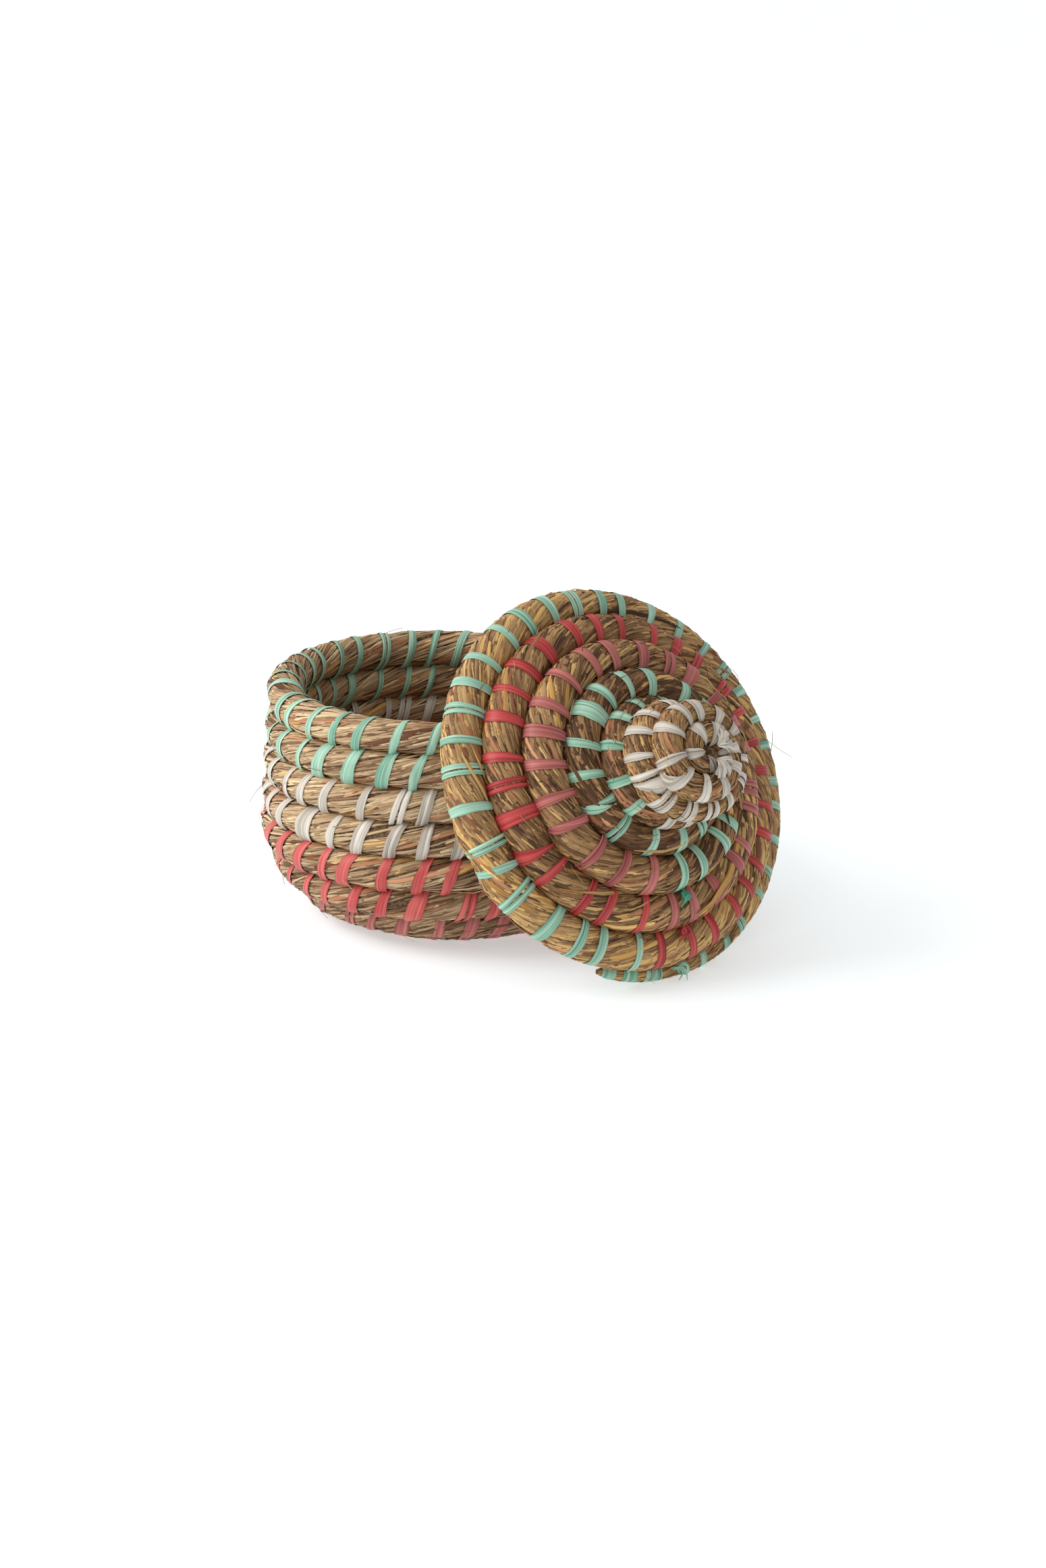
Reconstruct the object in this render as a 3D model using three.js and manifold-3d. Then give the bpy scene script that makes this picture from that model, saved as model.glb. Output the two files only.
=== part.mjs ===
// A small round basket and its lid, both coiled from one bundle of dry grass each.
// Every row of the coil is sewn to the row before it with a flat strip of coloured raffia.
// Millimetres, +Z up. The origin is on the floor, under the middle of pot and lid together.
// The lid is off, as people leave it: it stands on its edge and leans back over the pot's rim.
import * as THREE from "three";
import Module from "manifold-3d";

const wasm = await Module();
wasm.setup();

const degree = Math.PI / 180;
const fullTurn = 360 * degree;

// The pot: its rope's rows, and the line that the rows follow from the middle of the base up.
const potPitch = 11.5;
const baseFlatRadius = 32.5;
const bellyBendRadius = 27.5;
const wallLeanAngle = 4.2 * degree;
const wallRun = 60;
const potFirstRadius = 4.5;
const potTurns = 10.5;

// The lid: its rope's thickest row, and the line from the top of the knob out to the edge.
const lidPitch = 12.72;
const knobTopHeight = 45;
const knobCrownBendRadius = 9.5;
const knobFlatRadius = 6.4;
const waistBendRadius = 11.5;
const shoulderBendRadius = 45;
const lidRun = 60;
const lidFirstRadius = 4.3;
const lidTurns = 7.85;
const crownTurnAngle = 99 * degree;
const waistTurnAngle = 84 * degree;
const shoulderTurnAngle = 18 * degree;

// The knob wasn't wound quite straight: between these two heights the coil moves aside.
const asideX = 5.2;
const asideY = -2.7;
const asideLowHeight = 17;
const asideHighHeight = 46;

// The sewing: a flat strip round each row, and the room that it has in the seam.
const stripWidth = 3.6;
const stripThickness = 0.5;
const stripClearance = 0.3;
const seamSpare = 0.2;
const knotRadius = 2;
const knotClearance = 0.3;

// The lid's place: how it leans, which way it faces, on which side it stands, and its gap to the pot.
const leanAngle = 30.9 * degree;
const faceTurnAngle = 37.5 * degree;
const standTurnAngle = -42.2 * degree;
const leanGap = 0.3;

// Counts of steps, and shares of the sizes above.
const loopSteps = 24;
const stepAngle = fullTurn / loopSteps;
const cutDepthShare = 0.1;
const gripShare = 0.42;
const bandEdgeShare = 0.85;
const bandHalfShare = 0.3;
const tailShare = 0.3;
const startShare = 0.75;
const knobShare = 0.7;
const thickeningTurns = [2.6, 5.4];
const potTail = { turns: 0.7, power: 2.5 };
const lidTail = { turns: 0.4, power: 1.2 };
const sewingStepShare = 0.5;
const potRowStartTurns = 0.5;
const lidRowStartTurns = -1 / 6;
const middleParts = 6;

const seamGap = stripThickness + 2 * stripClearance + seamSpare;
const hexTangent = Math.tan(30 * degree);
const hexSecant = 1 / Math.cos(30 * degree);

const colours = {
  grass: 0xa07a4e,
  mint: 0x78cdb4,
  white: 0xcdc8be,
  coral: 0xe1555a,
  red: 0xcd3c46,
  rose: 0xb95a5f,
  green: 0x2f8f6a,
};

// A line in the half plane (radius, height), made of straight runs and bends, by its length.
function lineOf(startHeight, runs) {
  return (length) => {
    let radius = 0;
    let height = startHeight;
    let heading = 0;
    let left = length;
    for (const [index, run] of runs.entries()) {
      const last = index === runs.length - 1;
      const stretch = run.bend ? run.bend * Math.abs(run.angle) : run.straight;
      const part = last ? left : Math.min(left, stretch);
      if (run.bend) {
        const turn = (Math.sign(run.angle) * part) / run.bend;
        const swing = Math.sign(run.angle) * run.bend;
        radius += swing * (Math.sin(heading + turn) - Math.sin(heading));
        height -= swing * (Math.cos(heading + turn) - Math.cos(heading));
        heading += turn;
      } else {
        radius += part * Math.cos(heading);
        height += part * Math.sin(heading);
      }
      left -= part;
      if (left <= 0) break;
    }
    return { radius, height, heading };
  };
}

// A point beside the line, on the outside (+) or the inside (-) of the shell.
function beside(line, length, offset, outside) {
  const { radius, height, heading } = line(length);
  return new THREE.Vector2(
    radius + outside * offset * Math.sin(heading),
    height - outside * offset * Math.cos(heading),
  );
}

// The rope's six corners at one step: outer ridge, upper seam, inner ridge, lower seam.
function sectionOf(rope, index) {
  const { line, outside } = rope;
  const length = rope.lengths[index];
  const half = (rope.pitch * rope.shares[index] - seamGap) / 2;
  const ridge = half * hexSecant;
  const corner = half * hexTangent;
  return [
    beside(line, length, ridge, outside),
    beside(line, length + half, corner, outside),
    beside(line, length + half, -corner, outside),
    beside(line, length, -ridge, outside),
    beside(line, length - half, -corner, outside),
    beside(line, length - half, corner, outside),
  ];
}

// A coil of rope: each step lies one pitch along the line from the step one loop before.
function coilOf(rope) {
  const steps = Math.round(rope.turns * loopSteps);
  rope.shares = [];
  rope.lengths = [];
  rope.angles = [];
  for (let index = 0; index <= steps; index++) {
    const share = rope.thickness(index / loopSteps);
    const before = index - loopSteps;
    rope.shares.push(share);
    rope.lengths.push(
      before < 0
        ? rope.firstRadius + (rope.pitch * share * index) / loopSteps
        : rope.lengths[before] + (rope.pitch * (share + rope.shares[before])) / 2,
    );
    rope.angles.push(rope.startAngle + rope.winding * stepAngle * index);
  }
  rope.sections = rope.lengths.map((_, index) => sectionOf(rope, index));
  return rope;
}

// The rope begins thin in the middle of a coil and is at its full thickness after one loop.
const startShareAt = (turns) => startShare + (1 - startShare) * Math.min(1, turns);

// The rope thins out over its last stretch, until only its tail's thickness is left.
function tailShareAt(turns, allTurns, tail) {
  const thinning = Math.max(0, turns - allTurns + tail.turns) / tail.turns;
  return 1 - (1 - tailShare) * thinning ** tail.power;
}

const inSpace = (flat, angle) =>
  new THREE.Vector3(flat.x * Math.cos(angle), flat.x * Math.sin(angle), flat.y);

// Rings of points joined into one closed tube, with its faces turned outwards.
function tubeOf(rings) {
  const sides = rings[0].length;
  const corners = [];
  const face = (...points) => points.forEach((point) => corners.push(point.x, point.y, point.z));
  for (let ring = 0; ring + 1 < rings.length; ring++) {
    for (let side = 0; side < sides; side++) {
      const next = (side + 1) % sides;
      face(rings[ring][side], rings[ring][next], rings[ring + 1][next]);
      face(rings[ring][side], rings[ring + 1][next], rings[ring + 1][side]);
    }
  }
  const first = rings[0];
  const last = rings[rings.length - 1];
  for (let side = 1; side + 1 < sides; side++) {
    face(first[0], first[side + 1], first[side]);
    face(last[0], last[side], last[side + 1]);
  }
  return facingOut(new Float32Array(corners));
}

function facingOut(corners) {
  let volume = 0;
  const [a, b, c] = [new THREE.Vector3(), new THREE.Vector3(), new THREE.Vector3()];
  for (let at = 0; at < corners.length; at += 9) {
    a.fromArray(corners, at);
    b.fromArray(corners, at + 3);
    c.fromArray(corners, at + 6);
    volume += a.dot(b.cross(c));
  }
  if (volume < 0) {
    for (let at = 0; at < corners.length; at += 9) {
      const second = corners.slice(at + 3, at + 6);
      corners.set(corners.slice(at + 6, at + 9), at + 3);
      corners.set(second, at + 6);
    }
  }
  const geometry = new THREE.BufferGeometry();
  geometry.setAttribute("position", new THREE.BufferAttribute(corners, 3));
  geometry.computeVertexNormals();
  return geometry;
}

const ropeGeometry = (rope) =>
  tubeOf(
    rope.sections.map((section, index) =>
      section.map((corner) => inSpace(corner, rope.angles[index])),
    ),
  );

// The least gap between a coil's loops, on points along the sides of its sections.
function leastGap(rope) {
  let least = Infinity;
  const sidePoints = 4;
  const pointsOf = (section) =>
    section.flatMap((corner, index) =>
      Array.from({ length: sidePoints }, (_, step) =>
        corner.clone().lerp(section[(index + 1) % section.length], step / sidePoints),
      ),
    );
  for (let index = 0; index + loopSteps < rope.sections.length; index++) {
    const above = pointsOf(rope.sections[index + loopSteps]);
    for (const point of pointsOf(rope.sections[index])) {
      for (const other of above) least = Math.min(least, point.distanceTo(other));
    }
  }
  return least;
}

// The section of a rope at a step or halfway between two steps, with its angle and its grip.
function sectionAt(rope, step) {
  const low = Math.floor(step);
  const onRing = step === low;
  const high = onRing ? low : low + 1;
  const squeeze = Math.cos((rope.angles[high] - rope.angles[low]) / 2);
  const section = rope.sections[low].map((corner, index) => {
    const middle = corner.clone().lerp(rope.sections[high][index], 0.5);
    return new THREE.Vector2(middle.x * squeeze, middle.y);
  });
  return { section, angle: (rope.angles[low] + rope.angles[high]) / 2, low, onRing };
}

// A place on a section: whole numbers are corners, and the rest lies along the sides.
function spotOn(section, place) {
  const count = section.length;
  const corner = Math.floor(place);
  const along = place - corner;
  const spot = section[corner % count].clone().lerp(section[(corner + 1) % count], along);
  const middle = section.reduce((sum, each) => sum.add(each), new THREE.Vector2());
  middle.divideScalar(count);
  const normalOf = (side) => {
    const start = section[(side + count) % count];
    const end = section[(side + 1) % count];
    const normal = new THREE.Vector2(end.y - start.y, start.x - end.x).normalize();
    return normal.dot(start.clone().sub(middle)) < 0 ? normal.negate() : normal;
  };
  const out = normalOf(corner % count);
  if (along === 0) {
    const other = normalOf((corner % count) - 1);
    out.add(other).divideScalar(1 + normalOf(corner % count).dot(other));
  }
  return { spot, out };
}

// One cross section of a strip, lying on the rope at a step and a place round it.
function stripRing(rope, step, place) {
  const { section, angle, low, onRing } = sectionAt(rope, step);
  const { spot, out } = spotOn(section, place);
  const centre = inSpace(spot, angle);
  const outward = inSpace(out, angle);
  const previous = onRing ? low - 1 : low;
  const onStep = (index) => inSpace(spotOn(rope.sections[index], place).spot, rope.angles[index]);
  const towards = (end) => {
    const run = end.clone().sub(centre);
    const reach = onRing ? run.length() : 2 * run.length();
    return run.setLength(Math.min(stripWidth / 2, gripShare * reach)).add(centre);
  };
  const before = towards(onStep(previous));
  const after = towards(onStep(low + 1));
  const sagged = before.clone().add(after).divideScalar(2);
  const bulge = Math.max(0, centre.clone().sub(sagged).dot(outward.clone().normalize()));
  const inner = stripClearance + bulge;
  const outer = inner + stripThickness;
  return [
    before.clone().addScaledVector(outward, inner),
    after.clone().addScaledVector(outward, inner),
    after.clone().addScaledVector(outward, outer),
    before.clone().addScaledVector(outward, outer),
  ];
}

// Sewing that winds right round the rope, one corner of its section at a time.
function woundStrip(rope, firstStep, rings) {
  const corners = rope.sections[0].length;
  return tubeOf(
    Array.from({ length: rings }, (_, ring) =>
      stripRing(rope, firstStep + ring * sewingStepShare, ring % corners),
    ),
  );
}

// A point over the rope: its step along the rope, its place round the section, and its height.
function overRope(rope, step, place, height) {
  const low = Math.floor(step);
  const [before, after] = [low, low + 1].map((index) => {
    const { spot, out } = spotOn(rope.sections[index], place);
    return inSpace(spot.addScaledVector(out, height), rope.angles[index]);
  });
  return before.lerp(after, step - low);
}

// Sewing on the rows that the pot stands on, which shows inside only: over the row from seam to
// seam, along the seam for one step, and back over the row.
function innerStrip(rope, firstStep, rings) {
  const innerRidge = 3;
  const band = [];
  const crossSection = (left, right) => {
    const at = (spot, height) => overRope(rope, spot.step, innerRidge + spot.aside, height);
    const top = stripClearance + stripThickness;
    band.push([at(left, stripClearance), at(right, stripClearance), at(right, top), at(left, top)]);
  };
  const crossings = Math.floor(rings * sewingStepShare);
  for (let crossing = 0; crossing < crossings; crossing++) {
    const step = firstStep + crossing;
    const low = Math.floor(step);
    const stride = overRope(rope, low, innerRidge, 0).distanceTo(
      overRope(rope, low + 1, innerRidge, 0),
    );
    const side = rope.sections[low][innerRidge].distanceTo(rope.sections[low][innerRidge + 1]);
    const half = Math.min(stripWidth / 2, bandHalfShare * stride);
    const way = crossing % 2 === 0 ? 1 : -1;
    const left = step - (way * half) / stride;
    const right = step + (way * half) / stride;
    const high = half / side;
    const edge = way * bandEdgeShare;
    const turn = way * (bandEdgeShare - high);
    const ring = (leftAside, rightAside) =>
      crossSection({ step: left, aside: leftAside }, { step: right, aside: rightAside });
    if (crossing === 0) ring(-edge, -edge);
    else ring(high - turn, -high - turn);
    ring(0, 0);
    if (crossing + 1 === crossings) {
      ring(edge, edge);
    } else {
      ring(turn + high, turn - high);
      const next = step + sewingStepShare;
      crossSection({ step: next, aside: turn + high }, { step: next, aside: turn - high });
    }
  }
  return tubeOf(band);
}

function meshOf(name, geometry, colour, roughness) {
  const material = new THREE.MeshStandardMaterial({ color: colour, roughness, metalness: 0 });
  const mesh = new THREE.Mesh(geometry, material);
  mesh.name = name;
  return mesh;
}

const grassMesh = (name, geometry) => meshOf(name, geometry, colours.grass, 0.8);
const stripMesh = (name, geometry, colour) => meshOf(name, geometry, colours[colour], 0.55);

// The pot's rope stands on a flat cut under its lowest rows.
const potHalf = (potPitch - seamGap) / 2;
const footCut = cutDepthShare * 2 * potHalf;
const potRope = coilOf({
  line: lineOf(potHalf * hexSecant - footCut, [
    { straight: baseFlatRadius },
    { bend: bellyBendRadius, angle: 90 * degree + wallLeanAngle },
    { straight: wallRun },
  ]),
  outside: 1,
  winding: 1,
  startAngle: -165 * degree,
  pitch: potPitch,
  firstRadius: potFirstRadius,
  turns: potTurns,
  thickness: (turns) => startShareAt(turns) * tailShareAt(turns, potTurns, potTail),
});

function cutAtFloor(geometry) {
  const position = geometry.getAttribute("position").array;
  const seen = new Map();
  const vertices = [];
  const triangles = [];
  for (let at = 0; at < position.length; at += 3) {
    const point = position.slice(at, at + 3);
    const key = [...point].map((value) => value.toFixed(4)).join(" ");
    if (!seen.has(key)) {
      seen.set(key, vertices.length / 3);
      vertices.push(...point);
    }
    triangles.push(seen.get(key));
  }
  const solid = new wasm.Manifold(
    new wasm.Mesh({
      numProp: 3,
      vertProperties: new Float32Array(vertices),
      triVerts: new Uint32Array(triangles),
    }),
  );
  const cut = solid.trimByPlane([0, 0, 1], 0).getMesh();
  const corners = new Float32Array(cut.triVerts.length * 3);
  cut.triVerts.forEach((vertex, index) => {
    corners.set(cut.vertProperties.slice(vertex * cut.numProp, vertex * cut.numProp + 3), index * 3);
  });
  return facingOut(corners);
}

const pot = new THREE.Group();
pot.add(grassMesh("pot_rope", cutAtFloor(ropeGeometry(potRope))));

// The pot's rows from the middle of the base to the rim. Each has one strip of sewing.
const potRows = [
  ["pot_strip_base_inner_rose", "rose", innerStrip],
  ["pot_strip_base_outer_rose", "rose", innerStrip],
  ["pot_strip_foot_rose", "rose", innerStrip],
  ["pot_strip_belly_rose", "rose", woundStrip],
  ["pot_strip_wall_1_coral", "coral", woundStrip],
  ["pot_strip_wall_2_coral", "coral", woundStrip],
  ["pot_strip_wall_3_white", "white", woundStrip],
  ["pot_strip_wall_4_white", "white", woundStrip],
  ["pot_strip_wall_5_mint", "mint", woundStrip],
  ["pot_strip_rim_mint", "mint", woundStrip],
];
potRows.forEach(([name, colour, sewn], row) => {
  const first = (potRowStartTurns + row) * loopSteps + sewingStepShare;
  const rings = Math.floor((loopSteps - 1) / sewingStepShare);
  pot.add(stripMesh(name, sewn(potRope, first, rings), colour));
});

// The lid's rope, in the lid's own frame: +Z through the knob, +Y to the edge that is uppermost.
const lidRope = coilOf({
  line: lineOf(knobTopHeight, [
    { straight: knobFlatRadius },
    { bend: knobCrownBendRadius, angle: -crownTurnAngle },
    { bend: waistBendRadius, angle: waistTurnAngle },
    { bend: shoulderBendRadius, angle: -shoulderTurnAngle },
    { straight: lidRun },
  ]),
  outside: -1,
  winding: -1,
  startAngle: -165 * degree,
  pitch: lidPitch,
  firstRadius: lidFirstRadius,
  turns: lidTurns,
  thickness: (turns) => {
    const thickening = THREE.MathUtils.smoothstep(turns, ...thickeningTurns);
    const bodyShare = knobShare + (1 - knobShare) * thickening;
    return startShareAt(turns) * bodyShare * tailShareAt(turns, lidTurns, lidTail);
  },
});

// The lid's points move aside as far as their heights ask for.
function leaned(geometry) {
  const position = geometry.getAttribute("position");
  for (let index = 0; index < position.count; index++) {
    const height = position.getZ(index);
    const share = THREE.MathUtils.smoothstep(height, asideLowHeight, asideHighHeight);
    position.setX(index, position.getX(index) + asideX * share);
    position.setY(index, position.getY(index) + asideY * share);
  }
  geometry.computeVertexNormals();
  return geometry;
}

const lid = new THREE.Group();
lid.add(grassMesh("lid_rope", leaned(ropeGeometry(lidRope))));

// The lid's rows from the top of the knob to the edge. The first row is less than a loop, and
// starts after whole wraps, because the wraps of every two rows must pass each other in the seam.
const lidRows = [
  ["lid_strip_knob_top_white", "white"],
  ["lid_strip_knob_middle_white", "white"],
  ["lid_strip_knob_waist_white", "white"],
  ["lid_strip_row_1_mint", "mint"],
  ["lid_strip_row_2_mint", "mint"],
  ["lid_strip_row_3_rose", "rose"],
  ["lid_strip_row_4_red", "red"],
  ["lid_strip_edge_mint", "mint"],
];
const lidLastStep = lidRope.sections.length - 1;
const wrapSteps = lidRope.sections[0].length * sewingStepShare;
lidRows.forEach(([name, colour], row) => {
  const rowStart = (lidRowStartTurns + row) * loopSteps;
  const wrapsLeftOut = Math.ceil(Math.max(0, -rowStart) / wrapSteps);
  const first = rowStart + wrapsLeftOut * wrapSteps + sewingStepShare;
  const last = row + 1 === lidRows.length ? lidLastStep : rowStart + loopSteps;
  const rings = Math.floor((last - first) / sewingStepShare);
  lid.add(stripMesh(name, leaned(woundStrip(lidRope, first, rings)), colour));
});

// A knot in the groove where one colour ends and the next begins.
function knotMesh(name, step, colour) {
  const { line, outside } = lidRope;
  const half = (lidRope.pitch * lidRope.shares[step]) / 2;
  const corner = (half - seamGap / 2) * hexTangent;
  const groove = corner - (seamGap / 2) * hexTangent;
  const rise = groove + (knotRadius + knotClearance + stripThickness) * hexSecant;
  const flat = beside(line, lidRope.lengths[step] + half, rise, outside);
  const mesh = stripMesh(name, new THREE.IcosahedronGeometry(knotRadius, 1), colour);
  mesh.position.copy(inSpace(flat, lidRope.angles[step]));
  return mesh;
}
const rowEnd = (row) => (lidRowStartTurns + row) * loopSteps - 1;
lid.add(knotMesh("lid_knot_green", rowEnd(5), "green"));
lid.add(knotMesh("lid_knot_red", rowEnd(6), "red"));
lid.add(knotMesh("lid_knot_mint", rowEnd(7), "mint"));

// The lid leans back towards the pot: tipped up, turned, then stood on the floor beside it.
lid.rotation.x = 90 * degree - leanAngle;
const lidStand = new THREE.Group();
lidStand.rotation.z = faceTurnAngle;
lidStand.add(lid);
lidStand.updateMatrixWorld(true);
const lidBox = new THREE.Box3().setFromObject(lidStand, true);

// Points along the middle of a rope, closer together than its steps, each with its outer reach.
function middlesOf(rope) {
  const middles = [];
  const centreOf = (index) => {
    const { radius, height } = rope.line(rope.lengths[index]);
    return inSpace(new THREE.Vector2(radius, height), rope.angles[index]);
  };
  for (let index = 0; index + 1 < rope.lengths.length; index++) {
    const half = (rope.pitch * rope.shares[index] - seamGap) / 2;
    const reach = half + stripClearance + stripThickness;
    for (let part = 0; part < middleParts; part++) {
      const at = centreOf(index).lerp(centreOf(index + 1), part / middleParts);
      middles.push({ at, reach });
    }
  }
  return middles;
}

// The lid's distance from the pot's middle at which the two ropes just clear each other.
function standDistance() {
  const way = new THREE.Vector3(Math.cos(standTurnAngle), Math.sin(standTurnAngle), 0);
  const lidMiddles = middlesOf(lidRope);
  const potMiddles = middlesOf(potRope);
  lidMiddles.forEach((middle) => lid.localToWorld(middle.at).setZ(middle.at.z - lidBox.min.z));
  const apart = new THREE.Vector3();
  let distance = 0;
  for (const mine of lidMiddles) {
    for (const other of potMiddles) {
      apart.copy(mine.at).sub(other.at);
      const along = apart.dot(way);
      const reach = mine.reach + other.reach + leanGap;
      const spread = along * along - apart.lengthSq() + reach * reach;
      if (spread > 0) distance = Math.max(distance, Math.sqrt(spread) - along);
    }
  }
  return distance;
}

const distance = standDistance();
lidStand.position.set(
  distance * Math.cos(standTurnAngle),
  distance * Math.sin(standTurnAngle),
  -lidBox.min.z,
);

console.log("pot rope: least gap to itself", leastGap(potRope).toFixed(2), "mm");
console.log("lid rope: least gap to itself", leastGap(lidRope).toFixed(2), "mm");
console.log("lid stands", distance.toFixed(2), "mm from the pot's middle");

const basket = new THREE.Group();
basket.add(pot, lidStand);
const middle = new THREE.Box3().setFromObject(basket, true).getCenter(new THREE.Vector3());
basket.position.set(-middle.x, -middle.y, 0);

export default basket;
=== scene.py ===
# %% [markdown]
# A small round basket and its lid, made the way the real one is made. A bundle of dry grass is wound
# in a spiral, row on row, and each row is sewn to the row before it with flat strips of raffia.
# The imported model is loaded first. It gives the place and the size of everything that follows.

# %% The frame
import bisect
import math
import random

import bmesh
import bpy
from mathutils import Matrix, Vector


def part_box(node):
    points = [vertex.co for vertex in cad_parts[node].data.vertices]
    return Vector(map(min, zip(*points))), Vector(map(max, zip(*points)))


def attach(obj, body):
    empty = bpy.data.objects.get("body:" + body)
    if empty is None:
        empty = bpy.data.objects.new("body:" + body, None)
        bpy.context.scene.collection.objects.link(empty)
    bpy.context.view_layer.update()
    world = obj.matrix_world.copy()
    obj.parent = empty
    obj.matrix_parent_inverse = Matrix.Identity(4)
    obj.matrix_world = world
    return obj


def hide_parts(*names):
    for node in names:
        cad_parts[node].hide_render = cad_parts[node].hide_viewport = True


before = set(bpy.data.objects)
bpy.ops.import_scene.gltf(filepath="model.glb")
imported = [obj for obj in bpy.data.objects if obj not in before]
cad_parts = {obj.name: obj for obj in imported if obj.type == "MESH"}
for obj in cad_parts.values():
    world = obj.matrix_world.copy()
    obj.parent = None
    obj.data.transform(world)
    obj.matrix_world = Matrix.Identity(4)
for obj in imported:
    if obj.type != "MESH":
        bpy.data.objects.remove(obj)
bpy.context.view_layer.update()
print("solids in the frame:", len(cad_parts))

MM = 0.001
DEGREE = math.pi / 180
TURN = 360 * DEGREE
HALF_TURN = 180 * DEGREE

# %% [markdown]
# The pot stands on the floor and the lid stands on its edge, leaning on the rim. Each is modelled in
# a frame of its own, with +Z through its middle, and then put into its place with one matrix. Turning
# finished objects would work too, but a pattern that reads an object's own coordinates would turn too.

# %% Places of the pot and the lid
# Places and sizes are in millimetres, and MM turns them into the metres that Blender works in.
POT_MIDDLE = Vector((-21.5753, 15.4365, 0))
LID_MIDDLE = Vector((30.0619, -31.3853, 56.0685))
LID_LEAN = 30.9
LID_FACE_TURN = 37.5
POT_PLACE = Matrix.Translation(POT_MIDDLE * MM)
LID_PLACE = (
    Matrix.Translation(LID_MIDDLE * MM)
    @ Matrix.Rotation(LID_FACE_TURN * DEGREE, 4, "Z")
    @ Matrix.Rotation((90 - LID_LEAN) * DEGREE, 4, "X")
)
print("lid leans", LID_LEAN, "degrees")

# %% [markdown]
# The body of the basket is one rope of grass, wound row against row. A Screw modifier makes such a
# spiral only where the rise is the same all the way. Here the rows follow a line in the half plane of
# radius and height, made of straight runs and bends. Each step of the rope lies one rope's thickness
# along that line from the step one loop before, so the rows touch whatever the shape of the basket.

# %% The line of a shell
LOOP_STEPS = 96


def line_of(start_height, runs):
    """A run is (length, 0) where it is straight, and (radius, angle) where it bends."""

    def at(length):
        radius, height, heading, left = 0.0, start_height, 0.0, length
        for index, (size, angle) in enumerate(runs):
            last = index + 1 == len(runs)
            stretch = size * abs(angle) if angle else size
            part = left if last else min(left, stretch)
            if angle:
                sense = math.copysign(1, angle)
                turn = sense * part / size
                radius += sense * size * (math.sin(heading + turn) - math.sin(heading))
                height -= sense * size * (math.cos(heading + turn) - math.cos(heading))
                heading += turn
            else:
                radius += part * math.cos(heading)
                height += part * math.sin(heading)
            left -= part
            if left <= 0:
                break
        return radius, height, heading

    return at


# %% The rope's steps along a shell
def coil(line, pitch, first_radius, turns, share_at, winding, outside, start_angle):
    """Each step has its middle and its reach, the way from there to the rope's outer side."""
    steps, lengths, shares = [], [], []
    for index in range(round(turns * LOOP_STEPS) + 1):
        share = share_at(index / LOOP_STEPS)
        before = index - LOOP_STEPS
        if before < 0:
            length = first_radius + pitch * share * index / LOOP_STEPS
        else:
            length = lengths[before] + pitch * (share + shares[before]) / 2
        lengths.append(length)
        shares.append(share)
        radius, height, heading = line(length)
        angle = start_angle + winding * TURN * index / LOOP_STEPS
        round_way = Vector((math.cos(angle), math.sin(angle), 0))
        out = outside * (round_way * math.sin(heading) - Vector((0, 0, math.cos(heading))))
        middle = round_way * radius + Vector((0, 0, height))
        steps.append({"middle": middle * MM, "reach": out * pitch * share * MM / 2})
    return steps


def thick_at(turns, knob_share=1.0, thicker=(0.0, 1.0), start_share=0.75):
    wider = min(1.0, max(0.0, (turns - thicker[0]) / (thicker[1] - thicker[0])))
    wider = wider * wider * (3 - 2 * wider)
    start = start_share + (1 - start_share) * min(1.0, turns)
    return start * (knob_share + (1 - knob_share) * wider)


TAIL_THINNING_SHARE = 0.7


def tail_at(turns, all_turns, tail_turns, power):
    thinning = max(0.0, turns - all_turns + tail_turns) / tail_turns
    return 1 - TAIL_THINNING_SHARE * thinning**power


# %% [markdown]
# A maker starts with a thin curl of grass and ends by cutting the bundle to a taper. A plain tube with
# two caps would look like a sawn hose. So the coil gets a few more steps at both ends, each thinner and
# closer in than the one next to it.

# %% The ends of the bundle
SINK_SHARE = 0.2


def tucked_in(steps, turns, winding, least_radius, least_share, dip):
    """More steps before the first: the bundle's start, curled up thin in the middle of the coil."""
    first = steps[0]
    start = []
    count = round(turns * LOOP_STEPS)
    for index in range(count, 0, -1):
        part = index / count
        shrink = 1 + (least_radius * MM / first["middle"].xy.length - 1) * part
        back = Matrix.Rotation(-winding * TURN * index / LOOP_STEPS, 3, "Z")
        middle = back @ first["middle"]
        middle = Vector((middle.x * shrink, middle.y * shrink, middle.z - dip * MM * part * part))
        start.append({"middle": middle, "reach": first["reach"] * (1 + (least_share - 1) * part)})
    return start + steps


def pinched_off(steps, shares, stride_share=1.0):
    """A few more steps after the last one, so that the bundle's end is a soft point."""
    last, stride = steps[-1], (steps[-1]["middle"] - steps[-2]["middle"]) * stride_share
    for number, share in enumerate(shares):
        away = stride * (number + 1) - last["reach"] * (1 - share) * SINK_SHARE
        steps.append({"middle": last["middle"] + away, "reach": last["reach"] * share})
    return steps


# %% The two coils
POT_TURNS, LID_TURNS = 10.5, 7.85
POT_PITCH, LID_PITCH = 11.5, 12.72
POT_FIRST_RADIUS, LID_FIRST_RADIUS = 4.5, 4.3
LOWEST_ROW_HEIGHT = 4.869
KNOB_TOP_HEIGHT = 45
KNOB_SHARE = 0.7
THICKENING_TURNS = (2.6, 5.4)
POT_TAIL, LID_TAIL = (0.7, 2.5), (0.4, 1.2)
START_ANGLE = -165 * DEGREE
START_TURNS = 0.75

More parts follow.
